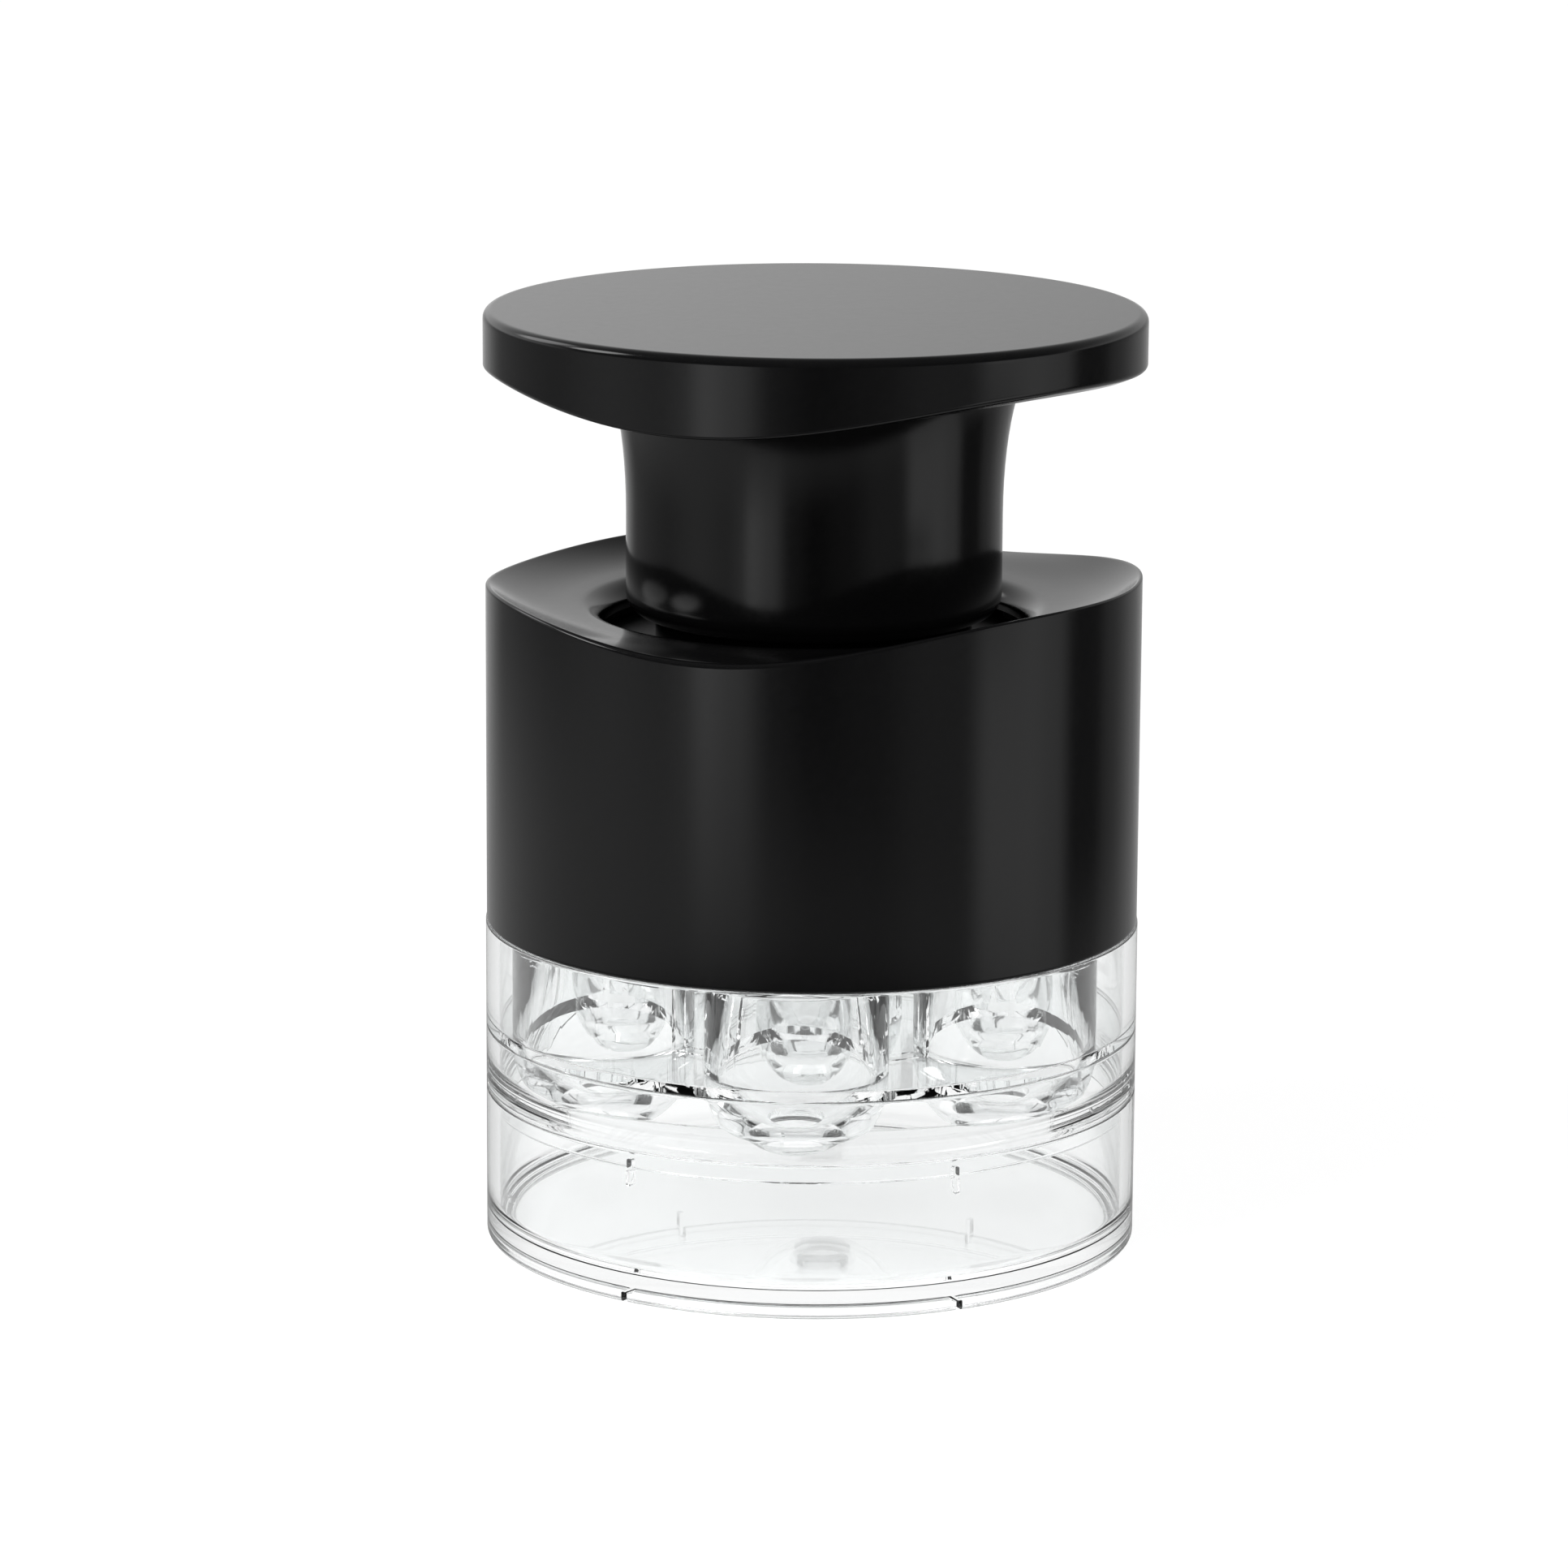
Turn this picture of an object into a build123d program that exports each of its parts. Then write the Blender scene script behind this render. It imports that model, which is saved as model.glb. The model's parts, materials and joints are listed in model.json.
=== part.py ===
from build123d import *
import math
import os

# A round hand press that stones seven cherries at one push, in millimetres.
# The origin is the middle of the foot ring, +Z is up, and one cup of the tray faces -Y.

# Heights of the stack, from the table up
BASE_HEIGHT = 23.3
TRAY_HEIGHT = 26.1
BODY_HEIGHT = 51.8
STROKE = 31.0
NEST_GAP = 1.2
CAP_THICKNESS = 9.6

# Outside radius of the body, and how far the cap and the clear pieces stand past it
BODY_RADIUS = 49.75
CAP_OVERHANG = 0.25
CLEAR_OVERHANG = 0.15

# Wavy edge that the body's rim and the cap's lower edge share
WAVE_TURN = 336.0
WAVE_HEIGHTS = (0.8, 1.4, 0.9, -0.9)
DISH_DEPTH = 3.2
RIM_WIDTH = 16.25
WAVE_STEPS = 12
WAVE_TOLERANCE = 0.01
WAVE_REACH = 2.0

# Pit container
CONTAINER_WALL = 2.0
CONTAINER_FLOOR = 2.0
CONTAINER_CORNER = 2.2
FOOT_HEIGHT = 1.6
FOOT_INSET = 0.4
FOOT_WIDTH = 2.8
FOOT_NOTCH = 1.0
REST_RIB_WIDTH = 1.2
REST_RIB_DEPTH = 1.2
REST_RIB_HEIGHT = 2.4

# Cup tray
TRAY_WALL = 2.0
DECK_DROP = 15.1
DECK_THICKNESS = 1.5
SPIGOT_DEPTH = 3.0
SPIGOT_WALL = 1.2
LIFT_CLEARANCE = 0.2
WEB_THICKNESS = 1.1
WEB_SPACING = 3.4

# Cherry cups: one in the middle and six round it
RING_CUPS = 6
CUP_SPACING = 7.0
CUP_EDGE_GAP = 0.1
CUP_WALL = 1.4
CUP_TOP_GAP = 0.8
CUP_SIDES = 18
BOWL_DEPTH = 11.8
BOWL_WALL = 1.5
BOWL_FLOOR = 3.6
BOWL_ROWS = 3
PIT_HOLE_RADIUS = 4.6

# Black body
BODY_WALL = 2.4
BODY_TOP_WALL = 2.4
SCREW_BOSS_RADIUS = 2.8
SCREW_BOSS_SIDES = 12
SCREW_BOSS_HEIGHT = 14.0
BODY_SCREWS = 3

# Guide plate with a collar round each plunger
PLATE_RAISE = 0.4
PLATE_THICKNESS = 2.0
PLATE_CLEARANCE = 0.15
COLLAR_RADIUS = 5.6
COLLAR_SIDES = 12
STRIPPER_DROP = 3.3
TAB_THICKNESS = 1.4
TAB_WIDTH = 9.0
TAB_DROP = 1.4
RUNNING_CLEARANCE = 0.06

# Plungers, cross-shaped from tip to head
ROD_RADIUS = 3.0
ROD_ARM = 1.7
ROD_HEAD_RADIUS = 4.4
ROD_HEAD_HEIGHT = 2.4
ROD_TIP_GAP = 0.8
HEAD_CLEARANCE = 0.1

# Six-sided plunger carrier and the clamp plate over the plunger heads
CARRIER_THICKNESS = 3.4
HUB_INSET = 1.0
CLAMP_THICKNESS = 2.2

# Neck
NECK_GAP = 5.0
NECK_WALL = 2.4
NECK_SINK = 1.2
NECK_FLOOR = 2.4
NECK_CHAMFER = 2.0
PEDESTAL_INSET = 4.5
PEDESTAL_HEIGHT = 4.6
FLARE_HEIGHT = 18.0
FLARE_STEPS = 3
FLANGE_RISE = 3.2
FLANGE_EDGE = 1.6
NECK_SCREWS = 3
NECK_SCREW_INSET = 10.5

# Cap
CAP_WALL = 2.4
CAP_TOP_WALL = 2.4
CAP_BEVEL = 0.8
CAP_RIB = 1.6
SEAT_GAP = 0.05

# Soft stop pads under the body's top
STOP_INSET = 1.5
STOP_LENGTH = 9.0
STOP_WIDTH = 2.4
STOP_GAP = 0.3

# Screws
SCREW_RADIUS = 1.3
SCREW_HEAD_RADIUS = 2.4
SCREW_HEAD_HEIGHT = 1.2
SCREW_GRIP = 7.0
SCREW_CLEARANCE = 0.1
SCREW_SIDES = 8
SCREW_HEAD_SIDES = 12

# Return spring, of square wire
SPRING_ROD_GAP = 13.2
SPRING_TOP_RADIUS = 10.0
SPRING_WIRE = 1.4
SPRING_TURNS = 3
SPRING_GAP = 0.3

# Levels worked out from the sizes above
BASE_TOP = BASE_HEIGHT
TRAY_TOP = BASE_TOP + TRAY_HEIGHT
RIM_Z = TRAY_TOP + BODY_HEIGHT
OPENING_Z = RIM_Z - DISH_DEPTH
LIFT = STROKE + NEST_GAP
FLANGE_Z = OPENING_Z + LIFT
FLANGE_TOP = RIM_Z + LIFT + FLANGE_RISE
CAP_TOP = RIM_Z + LIFT + CAP_THICKNESS
DECK_TOP = TRAY_TOP - DECK_DROP
DECK_LOW = DECK_TOP - DECK_THICKNESS
CUP_TOP = TRAY_TOP - CUP_TOP_GAP
BOWL_LOW = DECK_LOW - BOWL_DEPTH
CEILING = OPENING_Z - BODY_TOP_WALL
NECK_BOTTOM = OPENING_Z - NECK_SINK
CLAMP_TOP = NECK_BOTTOM - PEDESTAL_HEIGHT
CLAMP_LOW = CLAMP_TOP - CLAMP_THICKNESS
CARRIER_TOP = CLAMP_LOW - ROD_HEAD_HEIGHT
CARRIER_LOW = CARRIER_TOP - CARRIER_THICKNESS
PLATE_LOW = TRAY_TOP + PLATE_RAISE
PLATE_TOP = PLATE_LOW + PLATE_THICKNESS
STRIPPER_LOW = PLATE_LOW - STRIPPER_DROP
ROD_TIP = TRAY_TOP + ROD_TIP_GAP

# Radii worked out from the sizes above
CAP_RADIUS = BODY_RADIUS + CAP_OVERHANG
CLEAR_RADIUS = BODY_RADIUS + CLEAR_OVERHANG
OPENING_RADIUS = BODY_RADIUS - RIM_WIDTH
CONTAINER_BORE = CLEAR_RADIUS - CONTAINER_WALL
SPIGOT_RADIUS = CONTAINER_BORE - LIFT_CLEARANCE
TRAY_BORE = CLEAR_RADIUS - TRAY_WALL
BODY_BORE = BODY_RADIUS - BODY_WALL
PLATE_RADIUS = BODY_BORE - PLATE_CLEARANCE
CAP_BORE = CAP_RADIUS - CAP_WALL
CUP_RADIUS = (TRAY_BORE - CUP_EDGE_GAP - CUP_SPACING) / 3
CUP_RING_RADIUS = 2 * CUP_RADIUS + CUP_SPACING
NECK_RADIUS = OPENING_RADIUS - NECK_GAP
NECK_BORE = NECK_RADIUS - NECK_WALL
PEDESTAL_RADIUS = NECK_RADIUS - PEDESTAL_INSET
HUB_RADIUS = PEDESTAL_RADIUS - HUB_INSET
NECK_SCREW_CIRCLE = NECK_RADIUS - NECK_SCREW_INSET
SCREW_HOLE = SCREW_RADIUS + SCREW_CLEARANCE
BODY_SCREW_CIRCLE = BODY_BORE - SCREW_BOSS_RADIUS
STOP_CIRCLE = OPENING_RADIUS + STOP_INSET + STOP_WIDTH / 2
CARRIER_CORNER = CUP_RING_RADIUS + 2 * ROD_HEAD_RADIUS
CLAMP_CORNER = STOP_CIRCLE + STOP_WIDTH + STOP_LENGTH / 3
SPRING_BASE_RADIUS = CUP_RING_RADIUS - SPRING_ROD_GAP


def around(radius, count, start):
    """Places at equal steps round a circle, from a starting angle in degrees."""
    angles = [math.radians(start + 360 / count * k) for k in range(count)]
    return [(radius * math.cos(a), radius * math.sin(a)) for a in angles]


ON_FLOOR = (Align.CENTER, Align.CENTER, Align.MIN)
FRONT = -90
CUP_STEP = 360 / RING_CUPS
GAP_ANGLES = [FRONT + CUP_STEP * (k + 0.5) for k in range(RING_CUPS)]
CUP_PLACES = [(0.0, 0.0)] + around(CUP_RING_RADIUS, RING_CUPS, FRONT)
BODY_SCREW_PLACES = around(BODY_SCREW_CIRCLE, BODY_SCREWS, GAP_ANGLES[0])
NECK_SCREW_PLACES = around(NECK_SCREW_CIRCLE, NECK_SCREWS, GAP_ANGLES[0])


def disc(radius, low, high):
    """A round slab from one height to another."""
    return Pos(0, 0, low) * Cylinder(radius, high - low, align=ON_FLOOR)


def turned(points):
    """A solid turned about the upright axis from corners given as radius and height."""
    return revolve(Plane.XZ * make_face(Polyline(*points, close=True)), Axis.Z)


def many_sided(outline, sides, at=(0, 0)):
    """An upright solid of flat faces through corners given as radius and rising height."""
    rows = []
    for radius, z in outline:
        rows.append([Vector(x + at[0], y + at[1], z) for x, y in around(radius, sides, FRONT)])
    faces = [Face(Wire.make_polygon(rows[0])), Face(Wire.make_polygon(rows[-1]))]
    for low, high in zip(rows, rows[1:]):
        for k in range(sides):
            faces.append(Face(Wire.make_polygon([low[k - 1], low[k], high[k], high[k - 1]])))
    return Part() + Solid(Shell(faces))


def post(radius, sides, low, high, at=(0, 0)):
    """An upright bar with a regular outline."""
    return many_sided([(radius, low), (radius, high)], sides, at)


def cross(growth, low, high, at):
    """An upright bar with the plungers' cross-shaped section, grown by a clearance."""
    span, arm = 2 * (ROD_RADIUS + growth), ROD_ARM + 2 * growth
    bars = Box(span, arm, high - low, align=ON_FLOOR) + Box(arm, span, high - low, align=ON_FLOOR)
    return Pos(at[0], at[1], low) * bars


def radial_plate(inner, outer, thickness, low, high, angle):
    """An upright plate that runs outwards from one radius to another."""
    plate = Pos(inner, 0, low) * Box(
        outer - inner, thickness, high - low, align=(Align.MIN, Align.CENTER, Align.MIN)
    )
    return Rot(0, 0, angle) * plate


def wave_height(x, y):
    """Height of the dished top: level round the opening and wavy at the body's radius."""
    out = math.hypot(x, y) / BODY_RADIUS
    turn = math.atan2(y, x) - math.radians(WAVE_TURN)
    wave = sum(a * out**k * math.cos(k * turn) for k, a in enumerate(WAVE_HEIGHTS, 1))
    level = (OPENING_RADIUS / BODY_RADIUS) ** 2
    return OPENING_Z + (out**2 - level) / (1 - level) * (DISH_DEPTH + wave)


def above_wave(shift):
    """All the space over the dished surface, moved up by a shift."""
    reach = CAP_RADIUS + WAVE_REACH
    steps = [reach * (2 * k / WAVE_STEPS - 1) for k in range(WAVE_STEPS + 1)]
    rows = [[Vector(x, y, wave_height(x, y) + shift) for y in steps] for x in steps]
    surface = Face.make_surface_from_array_of_points(rows, tol=WAVE_TOLERANCE, min_deg=3, max_deg=8)
    return extrude(surface, amount=2 * CAP_RADIUS, dir=(0, 0, 1))


def pit_container():
    """Clear pot that catches the stones, on a notched foot ring."""
    foot_outer = CLEAR_RADIUS - FOOT_INSET
    foot_inner = foot_outer - FOOT_WIDTH
    floor_top = FOOT_HEIGHT + CONTAINER_FLOOR
    pot = turned(
        [
            (0, FOOT_HEIGHT),
            (foot_inner, FOOT_HEIGHT),
            (foot_inner, 0),
            (foot_outer, 0),
            (CLEAR_RADIUS, FOOT_INSET),
            (CLEAR_RADIUS, BASE_TOP),
            (CONTAINER_BORE, BASE_TOP),
            (CONTAINER_BORE, floor_top + CONTAINER_CORNER),
            (CONTAINER_BORE - CONTAINER_CORNER, floor_top),
            (0, floor_top),
        ]
    )
    rest_top = BASE_TOP - SPIGOT_DEPTH - LIFT_CLEARANCE
    rib_inner = CONTAINER_BORE - REST_RIB_DEPTH
    rib_outer = CONTAINER_BORE + CONTAINER_WALL / 2
    for angle in GAP_ANGLES:
        pot -= radial_plate(foot_inner - 1, CLEAR_RADIUS + 1, FOOT_NOTCH, 0, FOOT_HEIGHT, angle)
        pot += radial_plate(
            rib_inner, rib_outer, REST_RIB_WIDTH, rest_top - REST_RIB_HEIGHT, rest_top, angle
        )
    return pot


def cup_tray():
    """Clear ring with the deck that carries the cups, and a spigot that enters the pot."""
    spigot_bore = SPIGOT_RADIUS - SPIGOT_WALL
    tray = turned(
        [
            (0, DECK_LOW),
            (TRAY_BORE, DECK_LOW),
            (TRAY_BORE, BASE_TOP + SPIGOT_WALL),
            (spigot_bore, BASE_TOP + SPIGOT_WALL),
            (spigot_bore, BASE_TOP - SPIGOT_DEPTH),
            (SPIGOT_RADIUS, BASE_TOP - SPIGOT_DEPTH),
            (SPIGOT_RADIUS, BASE_TOP),
            (CLEAR_RADIUS, BASE_TOP),
            (CLEAR_RADIUS, TRAY_TOP),
            (TRAY_BORE, TRAY_TOP),
            (TRAY_BORE, DECK_TOP),
            (0, DECK_TOP),
        ]
    )
    between = CUP_RING_RADIUS * math.cos(math.radians(CUP_STEP / 2))
    for angle in GAP_ANGLES:
        tray -= radial_plate(
            spigot_bore - 1, SPIGOT_RADIUS, FOOT_NOTCH, BASE_TOP - SPIGOT_DEPTH, BASE_TOP, angle
        )
        for side in (-1, 1):
            web = Box(WEB_THICKNESS, CUP_RING_RADIUS, CUP_TOP - DECK_LOW, align=ON_FLOOR)
            tray += Rot(0, 0, angle) * Pos(between + side * WEB_SPACING / 2, 0, DECK_LOW) * web
    for place in CUP_PLACES:
        tray -= many_sided([(CUP_RADIUS, DECK_LOW), (CUP_RADIUS, CUP_TOP)], CUP_SIDES, place)
    return tray


def bowl_outline(rim, hole, low, high):
    """Radius and height up a bowl, on a quarter of an oval from its hole to its rim."""
    first = math.acos(hole / rim)
    angles = [first * (1 - row / BOWL_ROWS) for row in range(BOWL_ROWS + 1)]
    drop = (high - low) / math.sin(first)
    return [(rim * math.cos(a), high - drop * math.sin(a)) for a in angles]


def cherry_cup(place):
    """Cup whose bowl narrows under the deck to a thick floor with the hole that lets the stone out."""
    bore = CUP_RADIUS - CUP_WALL
    outside = bowl_outline(CUP_RADIUS, PIT_HOLE_RADIUS + BOWL_WALL, BOWL_LOW, DECK_LOW)
    inside = [(PIT_HOLE_RADIUS, BOWL_LOW)]
    inside += bowl_outline(bore, PIT_HOLE_RADIUS, BOWL_LOW + BOWL_FLOOR, DECK_LOW + CUP_WALL)
    cup = many_sided(outside + [(CUP_RADIUS, CUP_TOP)], CUP_SIDES, place)
    return cup - many_sided(inside + [(bore, CUP_TOP)], CUP_SIDES, place)


def cherry_cups():
    """The seven cups, which the clear moulding carries in its deck."""
    return Compound([cherry_cup(place).solid() for place in CUP_PLACES])


def body_shell():
    """Black body: round wall, dished top with a wavy rim, and bosses for the guide plate."""
    roof = RIM_Z + 2 * DISH_DEPTH
    body = disc(BODY_RADIUS, TRAY_TOP, roof) - disc(BODY_BORE, TRAY_TOP, CEILING)
    body -= disc(OPENING_RADIUS, CEILING, roof)
    boss_top = PLATE_TOP + SCREW_BOSS_HEIGHT
    for place in BODY_SCREW_PLACES:
        angle = math.degrees(math.atan2(place[1], place[0]))
        body += post(SCREW_BOSS_RADIUS, SCREW_BOSS_SIDES, PLATE_TOP, boss_top, place)
        body += radial_plate(
            BODY_SCREW_CIRCLE, BODY_BORE + BODY_WALL / 2, SCREW_BOSS_RADIUS, PLATE_TOP, boss_top, angle
        )
        body -= post(SCREW_HOLE, SCREW_SIDES, PLATE_TOP, PLATE_TOP + SCREW_GRIP + SCREW_RADIUS, place)
    return body - above_wave(0)


def guide_plate():
    """Plate across the body's mouth: it guides the plungers and strips the cherries off them."""
    plate = disc(PLATE_RADIUS, PLATE_LOW, PLATE_TOP)
    for place in CUP_PLACES:
        plate += post(COLLAR_RADIUS, COLLAR_SIDES, STRIPPER_LOW, PLATE_LOW, place)
        plate -= cross(RUNNING_CLEARANCE, STRIPPER_LOW, PLATE_TOP, place)
    for place in BODY_SCREW_PLACES:
        plate -= post(SCREW_HOLE, SCREW_SIDES, PLATE_LOW, PLATE_TOP, place)
    tab_outer = TRAY_BORE - LIFT_CLEARANCE
    for angle in GAP_ANGLES[1::2]:
        tab = radial_plate(
            tab_outer - TAB_THICKNESS, tab_outer, TAB_WIDTH, PLATE_LOW - TAB_DROP, PLATE_LOW, angle
        )
        plate += tab & disc(PLATE_RADIUS, PLATE_LOW - TAB_DROP, PLATE_LOW)
    return plate


def screw(low, high, place):
    """Screw that stands on its flat head."""
    head_top = low + SCREW_HEAD_HEIGHT
    head = post(SCREW_HEAD_RADIUS, SCREW_HEAD_SIDES, low, head_top, place)
    return (head + post(SCREW_RADIUS, SCREW_SIDES, head_top, high, place)).solid()


def guide_plate_screws():
    """Three screws that hold the guide plate up against the body's bosses."""
    low = PLATE_LOW - SCREW_HEAD_HEIGHT
    return Compound([screw(low, PLATE_TOP + SCREW_GRIP, place) for place in BODY_SCREW_PLACES])


def plunger_rod(place):
    """Cross-shaped plunger that pushes the stone out, with a six-sided head to hang by."""
    return cross(0, ROD_TIP, CARRIER_TOP, place) + post(ROD_HEAD_RADIUS, 6, CARRIER_TOP, CLAMP_LOW, place)


def plunger_carrier():
    """Six-sided plate that carries the plungers by their heads, with a hub that takes the screws."""
    carrier = post(CARRIER_CORNER, RING_CUPS, CARRIER_LOW, CARRIER_TOP)
    hub = post(HUB_RADIUS, RING_CUPS, CARRIER_TOP, CLAMP_LOW)
    carrier += hub - post(ROD_HEAD_RADIUS + HEAD_CLEARANCE, 6, CARRIER_TOP, CLAMP_LOW)
    for place in CUP_PLACES:
        carrier -= cross(RUNNING_CLEARANCE, CARRIER_LOW, CARRIER_TOP, place)
    head_top = CARRIER_LOW + SCREW_HEAD_HEIGHT
    for place in NECK_SCREW_PLACES:
        carrier -= post(SCREW_HEAD_RADIUS + HEAD_CLEARANCE, SCREW_HEAD_SIDES, CARRIER_LOW, head_top, place)
        carrier -= post(SCREW_HOLE, SCREW_SIDES, head_top, CLAMP_LOW, place)
    return carrier


def clamp_plate():
    """Six-sided plate that shuts the plunger heads onto the carrier."""
    plate = post(CLAMP_CORNER, RING_CUPS, CLAMP_LOW, CLAMP_TOP)
    for place in NECK_SCREW_PLACES:
        plate -= post(SCREW_HOLE, SCREW_SIDES, CLAMP_LOW, CLAMP_TOP, place)
    return plate


def neck_screws():
    """Three screws that draw the carrier and the clamp plate up to the neck."""
    return Compound([screw(CARRIER_LOW, NECK_BOTTOM, place) for place in NECK_SCREW_PLACES])


def press_neck():
    """Hollow neck that flares into the cone-shaped flange inside the cap's skirt."""
    flare_low = FLANGE_Z - FLARE_HEIGHT
    flare_angles = [math.radians(90 * step / FLARE_STEPS) for step in range(FLARE_STEPS + 1)]
    flare = [
        (
            OPENING_RADIUS - (OPENING_RADIUS - NECK_RADIUS) * math.cos(a),
            flare_low + FLARE_HEIGHT * math.sin(a),
        )
        for a in flare_angles
    ]
    flange_radius = CAP_BORE - SEAT_GAP
    neck = turned(
        [
            (0, CLAMP_TOP),
            (PEDESTAL_RADIUS, CLAMP_TOP),
            (PEDESTAL_RADIUS, NECK_BOTTOM),
            (NECK_RADIUS - NECK_CHAMFER, NECK_BOTTOM),
            (NECK_RADIUS, NECK_BOTTOM + NECK_CHAMFER),
            *flare,
            (flange_radius, FLANGE_TOP - FLANGE_EDGE),
            (flange_radius, FLANGE_TOP),
            (NECK_BORE, FLANGE_TOP),
            (NECK_BORE, NECK_BOTTOM + NECK_FLOOR),
            (0, NECK_BOTTOM + NECK_FLOOR),
        ]
    )
    for place in NECK_SCREW_PLACES:
        neck -= post(SCREW_HOLE, SCREW_SIDES, CLAMP_TOP, NECK_BOTTOM, place)
    return neck


def press_cap():
    """Round cap for the palm, with a skirt whose lower edge runs level with the body's rim."""
    ceiling = CAP_TOP - CAP_TOP_WALL
    cap = turned(
        [
            (0, ceiling),
            (CAP_BORE, ceiling),
            (CAP_BORE, FLANGE_Z),
            (CAP_RADIUS, FLANGE_Z),
            (CAP_RADIUS, CAP_TOP - CAP_BEVEL),
            (CAP_RADIUS - CAP_BEVEL, CAP_TOP),
            (0, CAP_TOP),
        ]
    )
    cap &= above_wave(LIFT)
    rib_low = FLANGE_TOP + SEAT_GAP
    for angle in GAP_ANGLES:
        cap += radial_plate(0, CAP_BORE + CAP_WALL / 2, CAP_RIB, rib_low, ceiling, angle)
    return cap


def stop_pads():
    """Soft pads on the clamp plate that land under the body's top when the press springs back."""
    pad = Box(STOP_WIDTH, STOP_LENGTH, CEILING - STOP_GAP - CLAMP_TOP, align=ON_FLOOR)
    angles = [FRONT + CUP_STEP * k for k in range(RING_CUPS)]
    return Compound([(Rot(0, 0, a) * Pos(STOP_CIRCLE, 0, CLAMP_TOP) * pad).solid() for a in angles])


def spring_point(turn):
    """Place on the middle line of the return spring after so many turns."""
    share = turn / SPRING_TURNS
    low = PLATE_TOP + SPRING_WIRE / 2
    high = CARRIER_LOW - SPRING_GAP - SPRING_WIRE / 2
    radius = SPRING_BASE_RADIUS + (SPRING_TOP_RADIUS - SPRING_BASE_RADIUS) * share
    rise = share - math.sin(2 * math.pi * share) / (2 * math.pi)
    angle = 2 * math.pi * turn
    return Vector(radius * math.cos(angle), radius * math.sin(angle), low + (high - low) * rise)


def spring_course(turn):
    """Direction of the spring's middle line after so many turns."""
    step = 1e-4
    return (spring_point(turn + step) - spring_point(turn - step)).normalized()


def biarc(start, course, end, end_course):
    """Two arcs that leave the start and reach the end along the given directions."""
    span = end - start
    both = course + end_course
    spread = 2 * (1 - course.dot(end_course))
    reach = (math.sqrt(span.dot(both) ** 2 + spread * span.dot(span)) - span.dot(both)) / spread
    handle = start + course * reach
    end_handle = end - end_course * reach
    middle = (handle + end_handle) * 0.5
    first = Edge.make_tangent_arc(start, course, middle)
    second = Edge.make_tangent_arc(middle, (end_handle - handle).normalized(), end)
    return [first, second]


def return_spring():
    """Conical coil whose turns lie inside each other when it is pressed flat."""
    arcs = []
    for quarter in range(4 * SPRING_TURNS):
        start, end = quarter / 4, (quarter + 1) / 4
        arcs += biarc(spring_point(start), spring_course(start), spring_point(end), spring_course(end))
    section = Plane(spring_point(0), z_dir=spring_course(0)) * Rectangle(SPRING_WIRE, SPRING_WIRE)
    return sweep(section, path=Wire(arcs))


def spring_self_gap():
    """Least gap between turns of the spring, measured on points of its middle line."""
    steps = 48
    points = [spring_point(k / steps) for k in range(steps * SPRING_TURNS + 1)]
    nearest = min(
        (points[a] - points[b]).length
        for a in range(len(points))
        for b in range(a + steps // 2, len(points))
    )
    return nearest - SPRING_WIRE * math.sqrt(2)


PIECES = {
    "pit_container": pit_container,
    "cup_tray": cup_tray,
    "cherry_cups": cherry_cups,
    "body_shell": body_shell,
    "guide_plate": guide_plate,
    "guide_plate_screws": guide_plate_screws,
    "return_spring": return_spring,
    "plunger_carrier": plunger_carrier,
    "clamp_plate": clamp_plate,
    "stop_pads": stop_pads,
    "neck_screws": neck_screws,
    "press_neck": press_neck,
    "press_cap": press_cap,
}

os.makedirs("parts", exist_ok=True)
for name, make in PIECES.items():
    export_step(make(), f"parts/{name}.step")
for number, place in enumerate(CUP_PLACES, 1):
    export_step(plunger_rod(place), f"parts/plunger_rod_{number}.step")
print("least gap between spring turns", round(spring_self_gap(), 2), "mm")
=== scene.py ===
# %% [markdown]
# # A press that stones seven cherries at one push
# The object is a round stack: a clear pot at the bottom, a clear tray with seven cups on it, a black
# body over the tray, and a wide black cap on a neck that slides in the body and carries the plungers.
# The frame brings every part at its true size. This lesson dresses it: the outside mouldings are
# modelled again with the small roundings that catch the light, and each part gets its material.

# %% Load the frame
import json
import math

import bpy
from mathutils import Matrix, Vector

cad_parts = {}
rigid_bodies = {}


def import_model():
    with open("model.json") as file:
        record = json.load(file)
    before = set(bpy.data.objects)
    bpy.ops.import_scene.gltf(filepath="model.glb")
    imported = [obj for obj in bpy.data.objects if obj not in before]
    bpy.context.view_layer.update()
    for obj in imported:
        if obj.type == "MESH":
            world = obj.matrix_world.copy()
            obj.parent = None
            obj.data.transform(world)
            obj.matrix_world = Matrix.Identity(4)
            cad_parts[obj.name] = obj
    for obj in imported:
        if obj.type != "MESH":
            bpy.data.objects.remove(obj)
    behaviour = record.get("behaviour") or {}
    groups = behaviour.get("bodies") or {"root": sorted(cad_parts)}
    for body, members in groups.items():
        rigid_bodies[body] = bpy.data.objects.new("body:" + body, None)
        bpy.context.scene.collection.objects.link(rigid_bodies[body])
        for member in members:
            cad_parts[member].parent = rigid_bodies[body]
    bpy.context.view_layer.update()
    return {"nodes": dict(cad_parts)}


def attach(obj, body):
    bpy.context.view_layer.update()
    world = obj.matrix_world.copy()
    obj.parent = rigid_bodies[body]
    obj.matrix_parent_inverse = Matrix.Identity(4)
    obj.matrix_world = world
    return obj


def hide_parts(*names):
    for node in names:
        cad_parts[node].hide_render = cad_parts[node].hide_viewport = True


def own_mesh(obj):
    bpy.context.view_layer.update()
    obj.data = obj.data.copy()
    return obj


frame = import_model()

# %% [markdown]
# ## The sizes that the outside mouldings share
# All of them are in millimetres, as on the maker's drawing, and MM turns them into Blender's metres.
# The tray stands on the pot, the body on the tray, and the cap floats a stroke above the body. Two
# points count as the same place when they are closer than CLOSE.

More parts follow.
